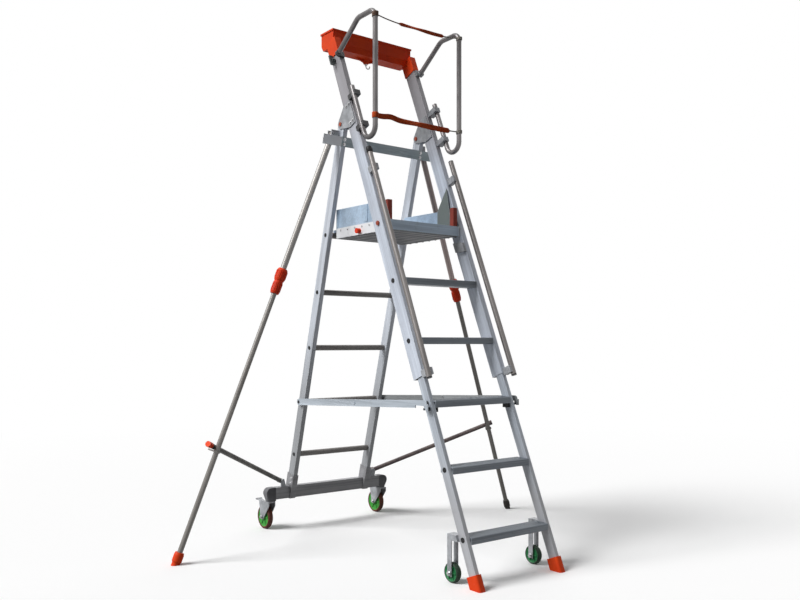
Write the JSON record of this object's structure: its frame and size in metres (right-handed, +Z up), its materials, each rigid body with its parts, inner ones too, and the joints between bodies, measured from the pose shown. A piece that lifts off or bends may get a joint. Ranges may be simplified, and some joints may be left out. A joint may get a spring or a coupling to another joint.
{
  "type": "orchard platform ladder",
  "caption": "Wheeled orchard platform ladder with a telescoping stepped front, folding rear frame, guard loops, tray and side outrigger poles.",
  "frame": {"origin": "on the floor at the middle of the ladder's footprint", "axes": "+X to the right seen from the climbing side, +Y from the climbing side to the rear frame, +Z up"},
  "size_m": [2.1563, 1.6609, 2.6063],
  "materials": {
    "aluminium": "satin mill finish",
    "tread_aluminium": "ribbed, dull",
    "sheet_aluminium": "satin sheet",
    "tube_aluminium": "brushed tube",
    "steel": "satin grey",
    "pin_steel": "satin red-brown",
    "black_plastic": "matte",
    "orange_plastic": "satin moulded",
    "red_plastic": "satin moulded",
    "grey_plastic": "matte",
    "dark_rubber": "matte",
    "webbing": "woven",
    "green_plastic": "satin",
    "tyre": "matte"
  },
  "bodies": {
    "front_upper": {"upper_stiles": "aluminium", "upper_treads": "tread_aluminium", "upper_plugs": "black_plastic", "frame_brackets": "steel", "hinge_pins": "pin_steel", "handrails": "tube_aluminium", "handrail_brackets": "steel", "tray": "orange_plastic", "guard_loops": "tube_aluminium", "loop_clamps": "steel", "strap_upper": "webbing", "strap_lower": "webbing"},
    "front_lower": {"lower_stiles": "aluminium", "lower_treads": "tread_aluminium", "lower_plugs": "black_plastic", "front_feet": "orange_plastic", "guide_shoes": "black_plastic", "wheel_arms": "steel"},
    "rear_frame": {"rear_stiles": "aluminium", "rear_rungs": "tube_aluminium", "rear_plugs": "black_plastic", "base_bar": "steel", "base_caps": "black_plastic", "knee_bar": "sheet_aluminium", "outrigger_brackets": "steel", "brace_brackets": "steel"},
    "platform": {"platform": "tread_aluminium", "toe_boards": "sheet_aluminium", "platform_posts": "red_plastic"},
    "tray_hook": {"tray_hook": "steel"},
    "front_wheel_left": {"front_hub_left": "green_plastic", "front_tyre_left": "tyre"},
    "wing_knob_left": {"wing_knob_left": "grey_plastic"},
    "castor_left": {"castor_fork_left": "steel"},
    "castor_wheel_left": {"castor_hub_left": "green_plastic", "castor_tyre_left": "tyre"},
    "brake_left": {"brake_pedal_left": "steel"},
    "pole_left": {"pole_left": "tube_aluminium"},
    "collar_left": {"pole_collar_left": "red_plastic"},
    "leg_left": {"pole_leg_left": "tube_aluminium", "pole_foot_left": "orange_plastic"},
    "brace_left": {"brace_left": "tube_aluminium"},
    "platform_knob_left": {"platform_knob_left": "red_plastic"},
    "spreader_rear_left": {"spreader_rear_left": "sheet_aluminium"},
    "spreader_front_left": {"spreader_front_left": "sheet_aluminium"},
    "front_wheel_right": {"front_hub_right": "green_plastic", "front_tyre_right": "tyre"},
    "wing_knob_right": {"wing_knob_right": "grey_plastic"},
    "castor_right": {"castor_fork_right": "steel"},
    "castor_wheel_right": {"castor_hub_right": "green_plastic", "castor_tyre_right": "tyre"},
    "brake_right": {"brake_pedal_right": "steel"},
    "pole_right": {"pole_right": "tube_aluminium"},
    "collar_right": {"pole_collar_right": "red_plastic"},
    "leg_right": {"pole_leg_right": "tube_aluminium", "pole_foot_right": "dark_rubber"},
    "brace_right": {"brace_right": "tube_aluminium"},
    "platform_knob_right": {"platform_knob_right": "red_plastic"},
    "spreader_rear_right": {"spreader_rear_right": "sheet_aluminium"},
    "spreader_front_right": {"spreader_front_right": "sheet_aluminium"}
  },
  "joints": [
    {"name": "lower_slide", "type": "slide", "parent": "front_upper", "child": "front_lower", "axis": [0, 0.3859, 0.9225], "range_m": [-0.2, 0]},
    {"name": "rear_fold", "type": "hinge", "parent": "front_upper", "child": "rear_frame", "pos_m": [0, 0.18182, 2.09957], "axis": [-1, 0, 0], "range_deg": [0, 28]},
    {"name": "platform_lift", "type": "hinge", "parent": "front_upper", "child": "platform", "pos_m": [0, -0.12992, 1.572], "axis": [1, 0, 0], "range_deg": [0, 60]},
    {"name": "tray_hook_turn", "type": "hinge", "parent": "front_upper", "child": "tray_hook", "pos_m": [0, 0.3305, 2.51425], "axis": [0, 0, 1], "continuous": true},
    {"name": "front_wheel_spin_left", "type": "hinge", "parent": "front_lower", "child": "front_wheel_left", "pos_m": [-0.245, -0.6475, 0.043], "axis": [1, 0, 0], "continuous": true},
    {"name": "wing_knob_turn_left", "type": "hinge", "parent": "front_upper", "child": "wing_knob_left", "pos_m": [-0.27, 0.24052, 2.43164], "axis": [1, 0, 0], "continuous": true},
    {"name": "castor_swivel_left", "type": "hinge", "parent": "rear_frame", "child": "castor_left", "pos_m": [-0.372, 0.70285, 0.15], "axis": [0, 0, 1], "continuous": true},
    {"name": "castor_spin_left", "type": "hinge", "parent": "castor_left", "child": "castor_wheel_left", "pos_m": [-0.372, 0.75285, 0.065], "axis": [1, 0, 0], "continuous": true},
    {"name": "brake_press_left", "type": "hinge", "parent": "castor_left", "child": "brake_left", "pos_m": [-0.372, 0.77285, 0.142], "axis": [-1, 0, 0], "range_deg": [0, 12]},
    {"name": "pole_swing_left", "type": "hinge", "parent": "rear_frame", "child": "pole_left", "pos_m": [-0.2855, 0.21782, 2.05457], "axis": [0, -1, 0], "range_deg": [0, 15]},
    {"name": "collar_twist_left", "type": "hinge", "parent": "pole_left", "child": "collar_left", "pos_m": [-0.56806, 0.2593, 1.305], "axis": [-0.3523, 0.0517, -0.9345], "range_deg": [-90, 90]},
    {"name": "leg_slide_left", "type": "slide", "parent": "pole_left", "child": "leg_left", "axis": [-0.3523, 0.0517, -0.9345], "range_m": [0, 0.15]},
    {"name": "brace_lift_left", "type": "hinge", "parent": "rear_frame", "child": "brace_left", "pos_m": [-0.3105, 0.70085, 0.261], "axis": [-0.4939, 0.8379, 0.2325], "range_deg": [0, 40]},
    {"name": "knob_pull_left", "type": "slide", "parent": "platform", "child": "platform_knob_left", "axis": [-1, 0, 0], "range_m": [0, 0.008], "stiffness_N_per_m": 400},
    {"name": "spreader_lift_left", "type": "hinge", "parent": "rear_frame", "child": "spreader_rear_left", "pos_m": [-0.271, 0.5662, 0.6945], "axis": [-1, 0, 0], "range_deg": [0, 70]},
    {"name": "spreader_fold_left", "type": "hinge", "parent": "spreader_rear_left", "child": "spreader_front_left", "pos_m": [-0.276, 0.03486, 0.71925], "axis": [1, 0, 0], "range_deg": [0, 140]},
    {"name": "front_wheel_spin_right", "type": "hinge", "parent": "front_lower", "child": "front_wheel_right", "pos_m": [0.245, -0.6475, 0.043], "axis": [1, 0, 0], "continuous": true},
    {"name": "wing_knob_turn_right", "type": "hinge", "parent": "front_upper", "child": "wing_knob_right", "pos_m": [0.27, 0.24052, 2.43164], "axis": [1, 0, 0], "continuous": true},
    {"name": "castor_swivel_right", "type": "hinge", "parent": "rear_frame", "child": "castor_right", "pos_m": [0.372, 0.70285, 0.15], "axis": [0, 0, 1], "continuous": true},
    {"name": "castor_spin_right", "type": "hinge", "parent": "castor_right", "child": "castor_wheel_right", "pos_m": [0.372, 0.75285, 0.065], "axis": [1, 0, 0], "continuous": true},
    {"name": "brake_press_right", "type": "hinge", "parent": "castor_right", "child": "brake_right", "pos_m": [0.372, 0.77285, 0.142], "axis": [-1, 0, 0], "range_deg": [0, 12]},
    {"name": "pole_swing_right", "type": "hinge", "parent": "rear_frame", "child": "pole_right", "pos_m": [0.2855, 0.21782, 2.05457], "axis": [0, 1, 0], "range_deg": [0, 15]},
    {"name": "collar_twist_right", "type": "hinge", "parent": "pole_right", "child": "collar_right", "pos_m": [0.56806, 0.2593, 1.305], "axis": [0.3523, 0.0517, -0.9345], "range_deg": [-90, 90]},
    {"name": "leg_slide_right", "type": "slide", "parent": "pole_right", "child": "leg_right", "axis": [0.3523, 0.0517, -0.9345], "range_m": [0, 0.15]},
    {"name": "brace_lift_right", "type": "hinge", "parent": "rear_frame", "child": "brace_right", "pos_m": [0.3105, 0.70085, 0.261], "axis": [-0.4939, -0.8379, -0.2325], "range_deg": [0, 40]},
    {"name": "knob_pull_right", "type": "slide", "parent": "platform", "child": "platform_knob_right", "axis": [1, 0, 0], "range_m": [0, 0.008], "stiffness_N_per_m": 400},
    {"name": "spreader_lift_right", "type": "hinge", "parent": "rear_frame", "child": "spreader_rear_right", "pos_m": [0.271, 0.5662, 0.6945], "axis": [-1, 0, 0], "range_deg": [0, 70]},
    {"name": "spreader_fold_right", "type": "hinge", "parent": "spreader_rear_right", "child": "spreader_front_right", "pos_m": [0.276, 0.03486, 0.71925], "axis": [1, 0, 0], "range_deg": [0, 140]}
  ],
  "couplings": [
    {"joint": "platform_lift", "follows": "rear_fold", "ratio": 2},
    {"joint": "spreader_lift_left", "follows": "rear_fold", "ratio": 2.3},
    {"joint": "spreader_fold_left", "follows": "rear_fold", "ratio": 4.7},
    {"joint": "spreader_lift_right", "follows": "rear_fold", "ratio": 2.3},
    {"joint": "spreader_fold_right", "follows": "rear_fold", "ratio": 4.7}
  ]
}
